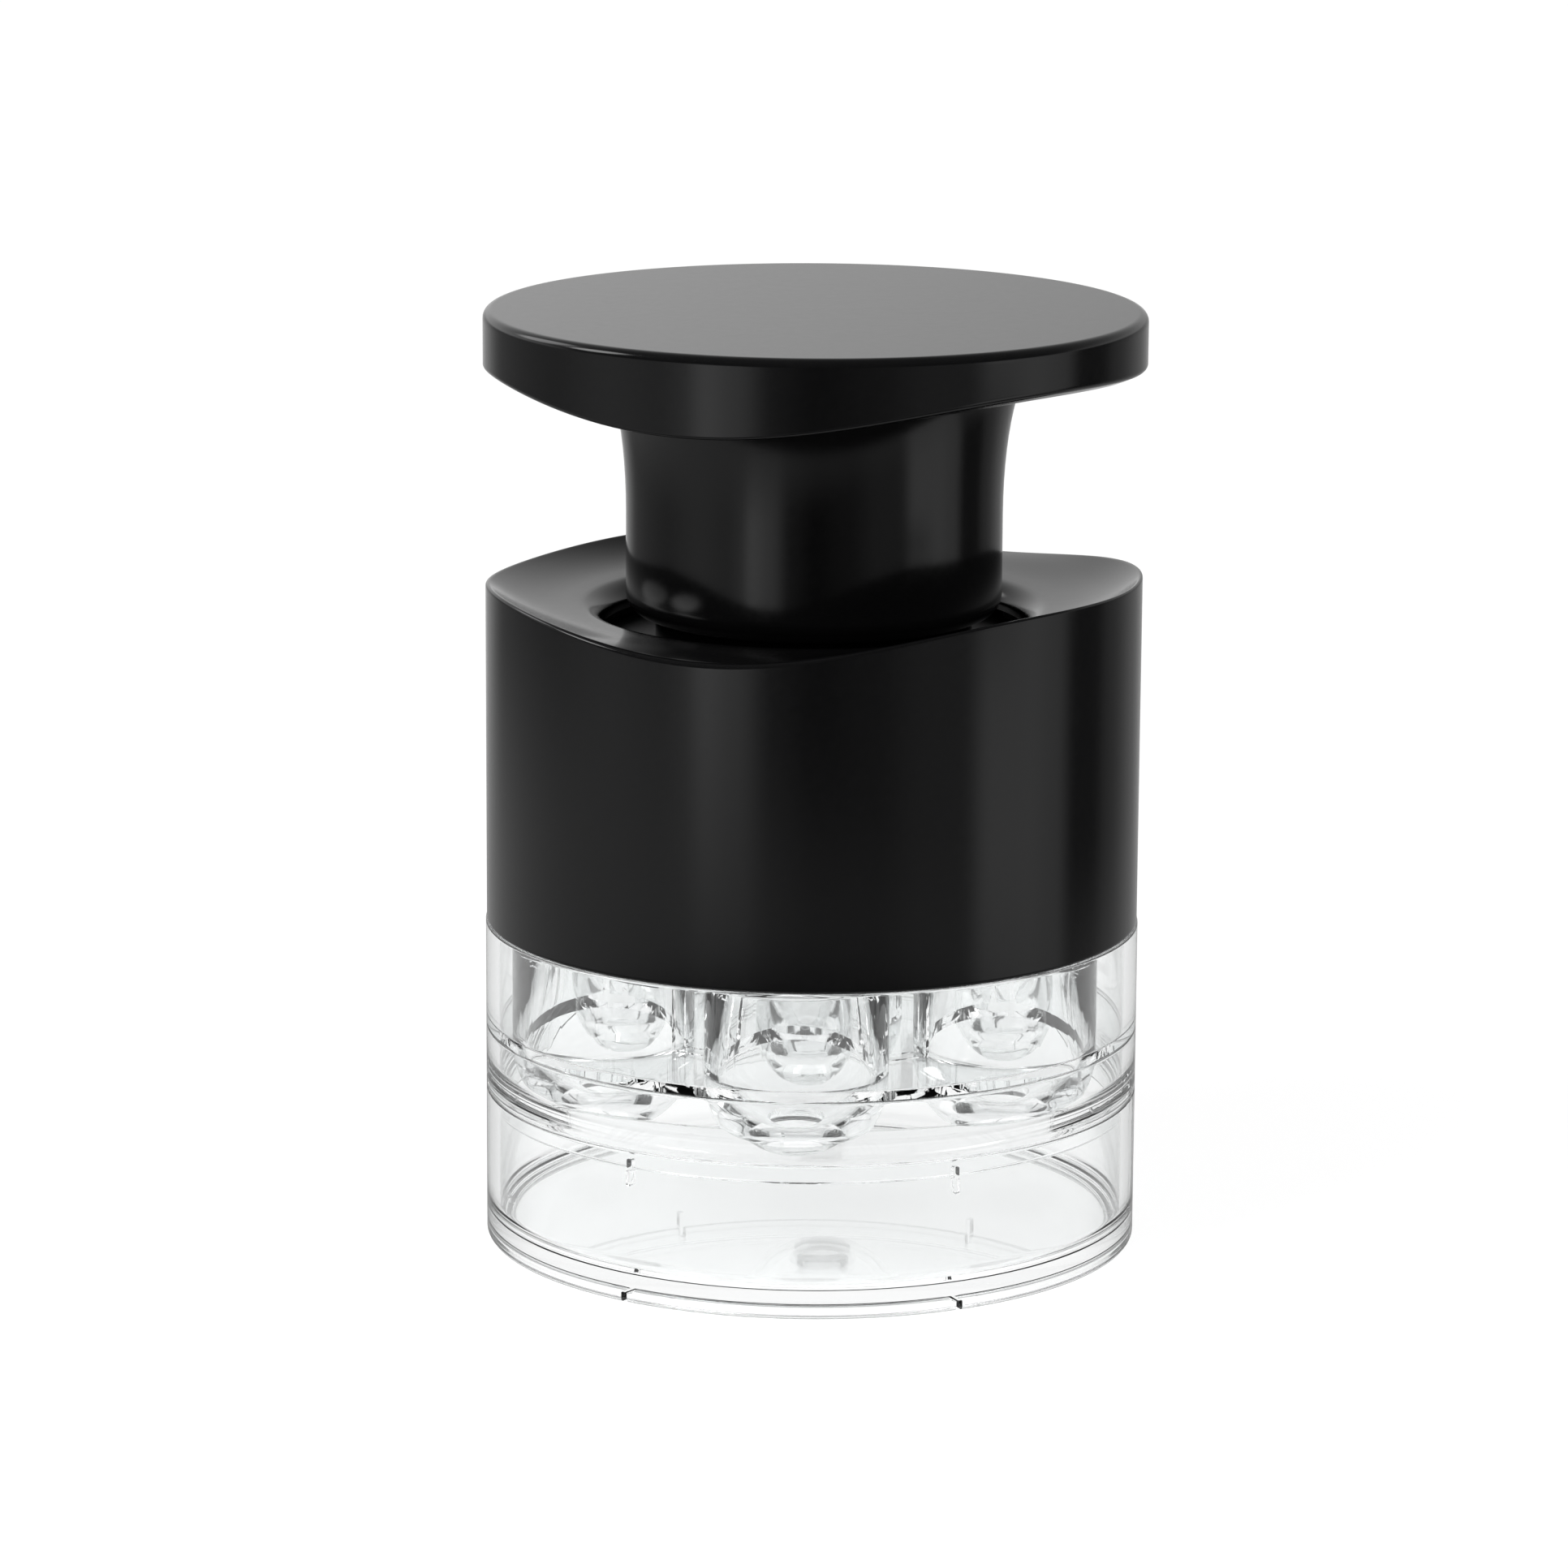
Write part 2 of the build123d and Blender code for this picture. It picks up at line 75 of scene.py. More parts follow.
# %% Sizes
MM = 0.001
POT_TOP, TRAY_TOP = 23.3, 49.4
CLEAR_RADIUS, CLEAR_BORE = 49.9, 47.9
BODY_RADIUS, BODY_BORE, CEILING = 49.75, 47.35, 95.6
OPENING_RADIUS, OPENING_Z, DISH_DEPTH = 33.5, 98.0, 3.2
LIFT = 32.2
CAP_RADIUS, CAP_BORE, CAP_CEILING, CAP_TOP = 50.0, 47.6, 140.6, 143.0
CUP_RING, CUP_STEP, FRONT = 34.2, 60, -90
GAP_ANGLES = [FRONT + CUP_STEP * (k + 0.5) for k in range(6)]
STEPS = 144
ROUNDING_STEPS = 6
CLOSE = 0.01
print("stack:", POT_TOP, TRAY_TOP, OPENING_Z + DISH_DEPTH, CAP_TOP, "mm")

# %% [markdown]
# ## Small helpers for modelling
# An operator acts on everything that is selected, so each step starts with nothing selected. A turned
# part starts as one point, which is extruded along the outline of its section. Corners are then
# rounded by bevelling their points, and the outline is spun about the upright axis. That is how a
# turner thinks of such a part, and the roundings come out even all the way round.


# %% Selecting
def only(obj):
    """Leaves obj alone selected, in object mode."""
    if bpy.context.mode != "OBJECT":
        bpy.ops.object.mode_set(mode="OBJECT")
    bpy.ops.object.select_all(action="DESELECT")
    if obj is not None:
        obj.select_set(True)
        bpy.context.view_layer.objects.active = obj


def pick(obj, wanted):
    """Selects the points that wanted(x, y, z) accepts, in millimetres, and opens edit mode on them."""
    only(obj)
    bpy.ops.object.mode_set(mode="EDIT")
    bpy.ops.mesh.select_mode(type="VERT")
    bpy.ops.mesh.select_all(action="DESELECT")
    bpy.ops.object.mode_set(mode="OBJECT")
    for v in obj.data.vertices:
        v.select = wanted(*(v.co / MM))
    bpy.ops.object.mode_set(mode="EDIT")


# %% Joining, cutting and cleaning
def combine(target, tool, operation):
    """Adds a solid to target or cuts it out, and removes the tool."""
    only(target)
    boolean = target.modifiers.new("combine", "BOOLEAN")
    boolean.operation, boolean.solver, boolean.object = operation, "EXACT", tool
    bpy.ops.object.modifier_apply(modifier=boolean.name)
    bpy.data.objects.remove(tool)
    return target


def tidy(obj, sharp=35):
    """Merges doubles, points the faces outwards and shades smooth below an angle."""
    only(obj)
    bpy.ops.object.mode_set(mode="EDIT")
    bpy.ops.mesh.select_all(action="SELECT")
    bpy.ops.mesh.remove_doubles(threshold=0.2 * CLOSE * MM)
    bpy.ops.mesh.normals_make_consistent(inside=False)
    bpy.ops.object.mode_set(mode="OBJECT")
    bpy.ops.object.shade_smooth_by_angle(angle=math.radians(sharp))
    return obj


# %% Points that keep the flat runs flat
BESIDE, MARGIN = 1.2, 0.05


def supported(corners, closed):
    """Adds a point beside each rounded corner, where the straight run next to it has room."""
    done = []
    for k, corner in enumerate(corners):
        if len(corner) < 3:
            done.append(corner)
            continue
        beside = []
        for k_next in (k - 1, (k + 1) % len(corners)):
            end = corners[k_next]
            run, reach = math.dist(corner[:2], end[:2]), BESIDE * corner[2] + MARGIN
            room = run > reach + 2 * MARGIN + (BESIDE * end[2] if len(end) > 2 else 0)
            wrapped = not closed and abs(k_next - k) > 1
            share = reach / run if run else 0
            step = [(e - c) * share for c, e in zip(corner, end)]
            beside.append([(corner[0] + step[0], corner[1] + step[1])] if room and not wrapped else [])
        done += beside[0] + [corner] + beside[1]
    return done


# %% Drawing a section and spinning it
def section(name, corners, closed):
    """A wire outline through corners given as radius, height and rounding."""
    corners = supported(corners, closed)
    only(None)
    bpy.ops.mesh.primitive_plane_add(size=MM)
    obj = bpy.context.object
    obj.name = obj.data.name = name
    bpy.ops.object.mode_set(mode="EDIT")
    bpy.ops.mesh.merge(type="CENTER")
    radius, height = corners[0][:2]
    bpy.ops.transform.translate(value=(radius * MM, 0, height * MM))
    for corner in corners[1:]:
        step = ((corner[0] - radius) * MM, 0, (corner[1] - height) * MM)
        bpy.ops.mesh.extrude_region_move(TRANSFORM_OT_translate={"value": step})
        radius, height = corner[:2]
    if closed:
        ends = [corners[0][:2], corners[-1][:2]]
        pick(obj, lambda x, y, z: any(math.dist((x, z), end) < CLOSE for end in ends))
        bpy.ops.mesh.edge_face_add()
    for corner in corners:
        if len(corner) > 2:
            pick(obj, lambda x, y, z: math.dist((x, z), corner[:2]) < CLOSE)
            offset = corner[2] * MM
            bpy.ops.mesh.bevel(
                offset_type="ABSOLUTE", offset=offset, segments=ROUNDING_STEPS, affect="VERTICES"
            )
    only(obj)
    return obj


def turned(name, corners, closed=True, steps=STEPS):
    """A solid turned about the upright axis."""
    obj = section(name, corners, closed)
    bpy.ops.object.mode_set(mode="EDIT")
    bpy.ops.mesh.select_all(action="SELECT")
    bpy.ops.mesh.spin(steps=steps, angle=math.tau, center=(0, 0, 0), axis=(0, 0, 1))
    tidy(obj)
    print(name, "-", len(obj.data.vertices), "points")
    return obj


def block(name, sizes, centre, angle=0):
    """A box of given sizes, pushed out to its centre and turned about the upright axis."""
    only(None)
    turn = Matrix.Rotation(math.radians(angle), 4, "Z")
    place = turn @ Vector([c * MM for c in centre])
    scale = [s * MM for s in sizes]
    bpy.ops.mesh.primitive_cube_add(size=1, location=place, rotation=turn.to_euler(), scale=scale)
    bpy.ops.object.transform_apply()
    obj = bpy.context.object
    obj.name = obj.data.name = name
    return obj


# %% [markdown]
# ## The wavy edge
# The body's rim dips and rises once round, and the cap's lower edge follows it, so the two close
# without a step when the press is pushed down. The dish is level round the opening, rises as a
# shallow bowl towards the rim, and four gentle waves of one to four turns shape its height. The real
# edges aren't quite that even, so a trim of a few tenths of a millimetre is added, with a cosine and
# a sine for each number of turns, counted from the side that faces the viewer.

# %% The shape of the dish
WAVE_TURN = math.radians(336)
WAVES = (0.8, 1.4, 0.9, -0.9)
BODY_BEND, CAP_BEND = 2, 1
VIEW_SIDE = math.radians(-86.5)
RIM_TRIM = [(-0.06, 0), (0.04, 0.21), (-0.47, 0.2), (0.14, 0.11), (-0.3, 0.04), (-0.09, 0.05)]
EDGE_TRIM = [(-0.08, 0), (-0.03, -0.08), (0.07, 0.12), (-0.06, 0.23), (-0.14, 0.05), (-0.04, -0.14)]


def dish_rise(radius, bend):
    """How far a point has risen between the opening and the rim, from 0 to 1."""
    level = (OPENING_RADIUS / BODY_RADIUS) ** 2
    return max(((radius / BODY_RADIUS) ** 2 - level) / (1 - level), 0) ** bend


def dish_points(radii, bend, lift=0):
    """Corners of a section along the plain dish."""
    return [(r, OPENING_Z + lift + DISH_DEPTH * dish_rise(r, bend)) for r in radii]


def wave(x, y, bend, trim):
    """What the wave and its trim add to the dish at a place."""
    out, angle = math.hypot(x, y) / BODY_RADIUS, math.atan2(y, x)
    height = sum(a * out**k * math.cos(k * (angle - WAVE_TURN)) for k, a in enumerate(WAVES, 1))
    seen = angle - VIEW_SIDE
    height += sum(c * math.cos(k * seen) + s * math.sin(k * seen) for k, (c, s) in enumerate(trim))
    return dish_rise(out * BODY_RADIUS, bend) * height


def wave_edge(obj, bend, trim, wanted):
    """Moves the chosen points up or down with the wave."""
    only(obj)
    moved = [v for v in obj.data.vertices if wanted(math.hypot(v.co.x, v.co.y) / MM, v.co.z / MM)]
    for v in moved:
        v.co.z += wave(v.co.x / MM, v.co.y / MM, bend, trim) * MM
    print(obj.name, "- wave on", len(moved), "points")


# %% [markdown]
# ## The black body
# The real body is one injection moulding: a straight round wall, closed by the dished top with a
# round opening for the neck. It could be cut from a cylinder with booleans, but a turned section
# gives the soft lip round the opening and the thin bright line along the rim directly.

# %% Body
LIP_RADIUS, LIP_LOW, LIP_WIDTH, LIP_DROP, LIP_WALL = 32.2, 94.2, 3.6, 3.0, 2.2
quarter = [math.radians(90 * k / 8) for k in range(9)]
lip = [
    (LIP_RADIUS + LIP_WIDTH * (1 - math.sin(a)), OPENING_Z - LIP_DROP * (1 - math.cos(a)))
    for a in quarter
]
(rim,) = dish_points([BODY_RADIUS], BODY_BEND)
body = turned(
    "body",
    [
        (BODY_BORE, TRAY_TOP, 0.4),
        (BODY_RADIUS, TRAY_TOP, 0.5),
        (*rim, 0.8),
        *dish_points(range(48, 36, -1), BODY_BEND),
        *lip,
        (LIP_RADIUS, LIP_LOW),
        (LIP_RADIUS + LIP_WALL, LIP_LOW),
        (LIP_RADIUS + LIP_WALL, CEILING),
        (BODY_BORE, CEILING, 0.8),
    ],
)
wave_edge(body, BODY_BEND, RIM_TRIM, lambda radius, z: z > OPENING_Z - 1 and radius > OPENING_RADIUS)

# %% [markdown]
# Three bosses inside the wall take the guide plate's screws. Each is a round post, joined to the wall
# by a short rib, as a mould maker would do to keep the wall even.

# %% Bosses inside the body
BOSS_RADIUS, BOSS_LENGTH, BOSS_RING, BOSS_MIDDLE = 2.8, 14, 44.55, 58.8
BOSS_RIB_REACH, BOSS_RIB_RING = 3.6, 46.6
for angle in GAP_ANGLES[::2]:
    only(None)
    turn = Matrix.Rotation(math.radians(angle), 4, "Z")
    place = turn @ Vector((BOSS_RING * MM, 0, BOSS_MIDDLE * MM))
    bpy.ops.mesh.primitive_cylinder_add(
        vertices=32,
        radius=BOSS_RADIUS * MM,
        depth=BOSS_LENGTH * MM,
        location=place,
        rotation=turn.to_euler(),
    )
    combine(body, bpy.context.object, "UNION")
    sizes = (BOSS_RIB_REACH, BOSS_RADIUS, BOSS_LENGTH)
    combine(body, block("rib", sizes, (BOSS_RIB_RING, 0, BOSS_MIDDLE), angle), "UNION")
tidy(body)
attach(body, "head")
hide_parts("body_shell")
print("body:", len(body.data.polygons), "faces")

# %% [markdown]
# ## The neck
# The neck is a hollow column with a rounded foot and a short spigot under it. Near the top it flares
# out like a trumpet and runs on as a flat flange inside the cap. The flare could be a large bevel,
# but a bevel is part of a circle, and this one is a quarter of an oval: its points come from sine
# and cosine, and the spin turns them into one smooth surface.

# %% Neck
SPIGOT_RADIUS, SPIGOT_LOW = 24, 92.2
NECK_RADIUS, NECK_FOOT, NECK_BORE, BORE_FLOOR = 28.5, 96.8, 26.1, 99.2
FLARE_WIDTH, FLARE_LOW, FLARE_HEIGHT, FLARE_END = 5, 112.2, 22.6, (33.6, 134.8)
FLANGE_RADIUS, FLANGE_EDGE, FLANGE_TOP = 47.55, 135.6, 136.6
flare = [math.radians(90 * k / 14) for k in range(14)]
flare_points = [
    (NECK_RADIUS + FLARE_WIDTH * (1 - math.cos(a)), FLARE_LOW + FLARE_HEIGHT * math.sin(a))
    for a in flare
]
neck = turned(
    "neck",
    [
        (0, SPIGOT_LOW),
        (SPIGOT_RADIUS, SPIGOT_LOW, 0.3),
        (SPIGOT_RADIUS, NECK_FOOT, 0.3),
        (NECK_RADIUS, NECK_FOOT, 3.0),
        *flare_points,
        FLARE_END,
        (FLANGE_RADIUS, FLANGE_EDGE, 0.2),
        (FLANGE_RADIUS, FLANGE_TOP, 0.2),
        (NECK_BORE, FLANGE_TOP, 0.4),
        (NECK_BORE, BORE_FLOOR, 1.0),
        (0, BORE_FLOOR),
    ],
    closed=False,
)
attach(neck, "press")
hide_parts("press_neck")

# %% [markdown]
# ## The cap
# The palm rests on a flat round plate with a soft edge. Its skirt hides the flange, and its lower
# edge is the wave. Three long ribs under the plate cross in the middle and keep it stiff. Plate and
# skirt are turned as one section, because the real cap is one moulding without a seam.

# %% Cap
inner_edge, outer_edge = dish_points([CAP_BORE, CAP_RADIUS], CAP_BEND, LIFT)
cap = turned(
    "cap",
    [
        (0, CAP_CEILING),
        (CAP_BORE, CAP_CEILING, 0.4),
        (*inner_edge, 0.4),
        (*outer_edge, 0.6),
        (CAP_RADIUS, CAP_TOP, 1.3),
        (0, CAP_TOP),
    ],
    closed=False,
)
wave_edge(cap, CAP_BEND, EDGE_TRIM, lambda radius, z: z < outer_edge[1] + 2)
CAP_RIB_WIDTH, CAP_RIB_HEIGHT, CAP_RIB_MIDDLE = 1.6, 4.4, 138.85
for angle in GAP_ANGLES[:3]:
    sizes = (2 * CAP_BORE + 1, CAP_RIB_WIDTH, CAP_RIB_HEIGHT)
    combine(cap, block("rib", sizes, (0, 0, CAP_RIB_MIDDLE), angle), "UNION")
tidy(cap)
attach(cap, "press")
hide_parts("press_cap")
print("cap:", len(cap.data.polygons), "faces")

# %% [markdown]
# ## The clear pot
# The pot catches the stones. Its floor stands on a low foot ring with six small notches, so that
# water drains when it is washed, and six short ribs inside line up with the notches of the tray. The
# pot is turned, and the notches and ribs are one box each, added or cut at six places round it.

# %% Pot
FOOT, FOOT_BORE, POT_FLOOR = 1.6, 46.7, 3.6
pot = turned(
    "pot",
    [
        (0, FOOT),
        (FOOT_BORE, FOOT, 0.8),
        (FOOT_BORE, 0, 0.2),
        (CLEAR_RADIUS, 0, 0.6),
        (CLEAR_RADIUS, POT_TOP, 0.3),
        (CLEAR_BORE, POT_TOP, 0.3),
        (CLEAR_BORE, POT_FLOOR, 2.6),
        (0, POT_FLOOR),
    ],
    closed=False,
)


# %% Ribs and notches of the pot: sizes, place and rounding
POT_RIB = (1.8, 1.0, 2.4), (47.6, 0, 18.9), 0.3
POT_NOTCH = (5.2, 1.0, 2 * FOOT), (48.3, 0, 0), 0.2


def softened(obj, width):
    """Rounds all the edges of a small solid."""
    only(obj)
    bevel = obj.modifiers.new("round", "BEVEL")
    bevel.width, bevel.segments = width * MM, 3
    bpy.ops.object.modifier_apply(modifier=bevel.name)
    return obj


def small_block(kind, angle):
    """A rounded block from its sizes, place and rounding, turned to an angle."""
    sizes, place, rounding = kind
    return softened(block("small_block", sizes, place, angle), rounding)


for angle in GAP_ANGLES:
    combine(pot, small_block(POT_RIB, angle), "UNION")
    combine(pot, small_block(POT_NOTCH, angle), "DIFFERENCE")
tidy(pot)
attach(pot, "base")
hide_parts("pit_container")
print("pot:", len(pot.data.polygons), "faces")

# %% [markdown]
# ## The clear cup tray
# Ring, deck and seven cups are one moulding, and clear plastic only looks right as one closed skin
# with no walls left inside it. So the solid outside shapes are joined first, and only then the
# hollows of the cups are cut out of the whole. A hollow reaches a little past its cup at both ends,
# so that it cuts right through, and it widens at the top to break the edge of the mouth.

# %% Ring and deck
DECK_LOW, DECK_TOP = 32.8, 34.3
RING_LOW, RING_BORE, RING_RADIUS = 20.3, 46.5, 47.7
tray = turned(
    "cup_tray_moulding",
    [
        (0, DECK_LOW),
        (CLEAR_BORE, DECK_LOW, 0.5),
        (CLEAR_BORE, 27.5, 0.8),
        (RING_BORE, 23.2, 0.8),
        (RING_BORE, RING_LOW, 0.3),
        (RING_RADIUS, RING_LOW, 0.3),
        (RING_RADIUS, POT_TOP),
        (CLEAR_RADIUS, POT_TOP, 0.3),
        (CLEAR_RADIUS, TRAY_TOP, 0.3),
        (CLEAR_BORE, TRAY_TOP, 0.3),
        (CLEAR_BORE, DECK_TOP, 0.3),
        (0, DECK_TOP),
    ],
    closed=False,
)
TRAY_NOTCH = (3.0, 1.0, 2.4), (47.0, 0, 20.6), 0.3
for angle in GAP_ANGLES:
    combine(tray, small_block(TRAY_NOTCH, angle), "DIFFERENCE")
print("tray:", len(tray.data.vertices), "points with its notches")


# %% One cup, outside and inside
CUP_RADIUS, CUP_FOOT, CUP_LOW, CUP_SHOULDER, CUP_TOP = 13.6, 6.1, 21.0, 33.2, 48.6
HOLLOW_RADIUS, HOLE_RADIUS, HOLLOW_LOW, HOLLOW_SHOULDER, HOLLOW_TOP = 12.2, 4.6, 24.6, 35.0, 48.2
CUT_LOW, CUT_TOP, CUT_MOUTH = 18.0, 49.2, 12.8
CUP_SIDES = 64


def cup_outline(rim, hole, low, high, count=10):
    """Points up a bowl on a quarter of an oval."""
    first = math.acos(hole / rim)
    angles = [first * (1 - k / count) for k in range(count + 1)]
    drop = (high - low) / math.sin(first)
    return [(rim * math.cos(a), high - drop * math.sin(a)) for a in angles]


outside = turned(
    "cup_outside",
    [
        (0, CUP_LOW),
        *cup_outline(CUP_RADIUS, CUP_FOOT, CUP_LOW, CUP_SHOULDER),
        (CUP_RADIUS, CUP_TOP, 0.5),
        (0, CUP_TOP),
    ],
    closed=False,
    steps=CUP_SIDES,
)
inside = turned(
    "cup_inside",
    [
        (0, CUT_LOW),
        (HOLE_RADIUS, CUT_LOW),
        *cup_outline(HOLLOW_RADIUS, HOLE_RADIUS, HOLLOW_LOW, HOLLOW_SHOULDER),
        (HOLLOW_RADIUS, HOLLOW_TOP),
        (CUT_MOUTH, CUT_TOP),
        (0, CUT_TOP),
    ],
    closed=False,
    steps=CUP_SIDES,
)

# %% Seven copies and the double webs between the outer cups
WEB_SIZES, WEB_RING, WEB_MIDDLE, WEB_ASIDE = (1.1, 33.0, 15.0), 29.6, 40.9, 1.7
cup_angles = [math.radians(FRONT + CUP_STEP * k) for k in range(6)]
places = [(0, 0)] + [(CUP_RING * math.cos(a), CUP_RING * math.sin(a)) for a in cup_angles]


def copy_to(model, place):
    """A copy of a model with its own mesh, moved to a cup's place."""
    other = model.copy()
    other.data = model.data.copy()
    bpy.context.collection.objects.link(other)
    other.location = (place[0] * MM, place[1] * MM, 0)
    return other


for place in places:
    combine(tray, copy_to(outside, place), "UNION")
for angle in GAP_ANGLES:
    for side in (-WEB_ASIDE, WEB_ASIDE):
        web = block("web", WEB_SIZES, (WEB_RING + side, 0, WEB_MIDDLE), angle)
        combine(tray, web, "UNION")
for place in places:
    combine(tray, copy_to(inside, place), "DIFFERENCE")
for model in (outside, inside):
    bpy.data.objects.remove(model)
tidy(tray)
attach(tray, "tray")
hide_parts("cup_tray", "cherry_cups")
print("tray:", len(tray.data.polygons), "faces")

# %% [markdown]
# ## The return spring
# A conical spring of round wire pushes the press up again. A circle of the wire's size is wound up by
# the Screw modifier, and the coil is then drawn in towards its top, so that the turns lie inside each
# other when it is pressed flat. A curve with a bevel would also do, but the modifier keeps the pitch
# and the number of turns as plain numbers.

# %% Spring
SPRING_LOW, SPRING_HIGH, WIRE, TURNS = 51.8, 83.9, 1.4, 3
SPRING_RADIUS, SPRING_DRAW, WIRE_SIDES, TURN_STEPS = 20.9, 10.6, 14, 56
only(None)
bpy.ops.mesh.primitive_circle_add(
    vertices=WIRE_SIDES,
    radius=WIRE / 2 * MM,
    location=(SPRING_RADIUS * MM, 0, (SPRING_LOW + WIRE / 2) * MM),
    rotation=(math.pi / 2, 0, 0),
)
spring = bpy.context.object
spring.name = spring.data.name = "spring"
bpy.ops.object.transform_apply(location=True, rotation=True)
screw = spring.modifiers.new("wind", "SCREW")
screw.screw_offset = (SPRING_HIGH - SPRING_LOW - WIRE) / TURNS * MM
screw.iterations = TURNS
screw.steps = screw.render_steps = TURN_STEPS
screw.use_merge_vertices = False
bpy.ops.object.modifier_apply(modifier=screw.name)
for v in spring.data.vertices:
    share = (v.co.z / MM - SPRING_LOW) / (SPRING_HIGH - SPRING_LOW)
    radius = math.hypot(v.co.x, v.co.y)
    drawn = (radius - SPRING_DRAW * MM * max(share, 0)) / radius
    v.co.x, v.co.y = v.co.x * drawn, v.co.y * drawn
pick(spring, lambda x, y, z: True)
bpy.ops.mesh.fill_holes(sides=WIRE_SIDES)
tidy(spring, 60)
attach(spring, "head")
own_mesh(spring)
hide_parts("return_spring")
print("spring:", len(spring.data.polygons), "faces")

# %% [markdown]
# ## Materials
# Each finish is a small node tree that reads Object coordinates, so its grain stays with the part.
# Noise moves the roughness and the surface a little, as polished moulds and drawn wire do. Values
# that are the same all over sit on the shader's own sockets.


# %% Material helper
def finish(name, colours, roughness, grain, bump, **sockets):
    """A Principled material whose colour, roughness and surface follow a fine noise."""
    material = bpy.data.materials.new(name)
    material.use_nodes = True
    nodes, links = material.node_tree.nodes, material.node_tree.links
    shader = nodes["Principled BSDF"]
    place, noise = nodes.new("ShaderNodeTexCoord"), nodes.new("ShaderNodeTexNoise")
    noise.inputs["Scale"].default_value = grain
    noise.inputs["Detail"].default_value = 3
    links.new(place.outputs["Object"], noise.inputs["Vector"])
    tint = nodes.new("ShaderNodeValToRGB")
    for stop, colour in zip(tint.color_ramp.elements, colours):
        stop.color = (*colour, 1)
    links.new(noise.outputs["Fac"], tint.inputs["Fac"])
    links.new(tint.outputs["Color"], shader.inputs["Base Color"])
    rough = nodes.new("ShaderNodeMapRange")
    rough.inputs["To Min"].default_value, rough.inputs["To Max"].default_value = roughness
    links.new(noise.outputs["Fac"], rough.inputs["Value"])
    links.new(rough.outputs["Result"], shader.inputs["Roughness"])
    relief = nodes.new("ShaderNodeBump")
    relief.inputs["Strength"].default_value, relief.inputs["Distance"].default_value = bump
    links.new(noise.outputs["Fac"], relief.inputs["Height"])
    links.new(relief.outputs["Normal"], shader.inputs["Normal"])
    for socket, value in sockets.items():
        shader.inputs[socket.replace("_", " ")].default_value = value
    return material


# %% The finishes: two colours, least and most roughness, grain, strength and depth of the relief
black = finish(
    "satin black plastic",
    [(0.0028, 0.0028, 0.003), (0.0045, 0.0045, 0.0047)],
    (0.10, 0.18),
    900,
    (0.05, 0.00002),
    IOR=1.5,
)
dark = finish(
    "matte dark plastic",
    [(0.006, 0.006, 0.0065), (0.010, 0.010, 0.0105)],
    (0.38, 0.5),
    1400,
    (0.12, 0.00003),
    IOR=1.5,
)
steel = finish(
    "drawn steel",
    [(0.5, 0.5, 0.52), (0.62, 0.62, 0.63)],
    (0.2, 0.34),
    2200,
    (0.1, 0.00002),
    Metallic=1.0,
)
rubber = finish(
    "soft rubber",
    [(0.02, 0.02, 0.02), (0.03, 0.03, 0.03)],
    (0.7, 0.85),
    1800,
    (0.2, 0.00004),
)
clear = finish(
    "clear plastic",
    [(0.985, 0.99, 0.99), (0.995, 1.0, 1.0)],
    (0.0, 0.025),
    60,
    (0.03, 0.0001),
    IOR=1.49,
    Transmission_Weight=1.0,
)
print("finishes:", [m.name for m in (black, dark, steel, rubber, clear)])

# %% [markdown]
# Clear plastic isn't quite colourless: where its wall is seen edge on, the eye looks through a lot of
# it and finds a grey outline. A Layer Weight node knows the slant, and a ramp turns it into that tone.

# %% A grey tone where the clear plastic is seen edge on
nodes, links = clear.node_tree.nodes, clear.node_tree.links
slant, edge = nodes.new("ShaderNodeLayerWeight"), nodes.new("ShaderNodeValToRGB")
both = nodes.new("ShaderNodeMix")
slant.inputs["Blend"].default_value = 0.5
EDGE = [(0.5, (1, 1, 1)), (0.72, (0.86, 0.87, 0.87)), (0.93, (0.68, 0.7, 0.69))]
edge.color_ramp.elements.new(0.5)
for stop, (position, colour) in zip(edge.color_ramp.elements, EDGE):
    stop.position, stop.color = position, (*colour, 1)
links.new(slant.outputs["Facing"], edge.inputs["Fac"])
both.data_type, both.blend_type = "RGBA", "MULTIPLY"
both.inputs["Factor"].default_value = 1
shader = nodes["Principled BSDF"]
links.new(shader.inputs["Base Color"].links[0].from_socket, both.inputs[6])
links.new(edge.outputs["Color"], both.inputs[7])
links.new(both.outputs[2], shader.inputs["Base Color"])
print("edge tone:", len(EDGE), "stops")

# %% [markdown]
# Light from a lamp can't find its way through clear plastic by chance, and the floor under it would
# turn dark. The clear finish therefore lets rays that look for a lamp pass straight through. A ray
# through the cups also crosses many walls, so it is allowed more bounces than usual, or it ends black.

# %% Let lamps shine through the clear plastic
cycles = bpy.context.scene.cycles
cycles.max_bounces = cycles.transmission_bounces = cycles.transparent_max_bounces = 32
cycles.glossy_bounces = 12
path, mix = nodes.new("ShaderNodeLightPath"), nodes.new("ShaderNodeMixShader")
through = nodes.new("ShaderNodeBsdfTransparent")
through.inputs["Color"].default_value = (0.9, 0.91, 0.91, 1)
links.new(path.outputs["Is Shadow Ray"], mix.inputs["Fac"])
links.new(shader.outputs["BSDF"], mix.inputs[1])
links.new(through.outputs["BSDF"], mix.inputs[2])
links.new(mix.outputs["Shader"], nodes["Material Output"].inputs["Surface"])
print("bounces:", cycles.max_bounces)

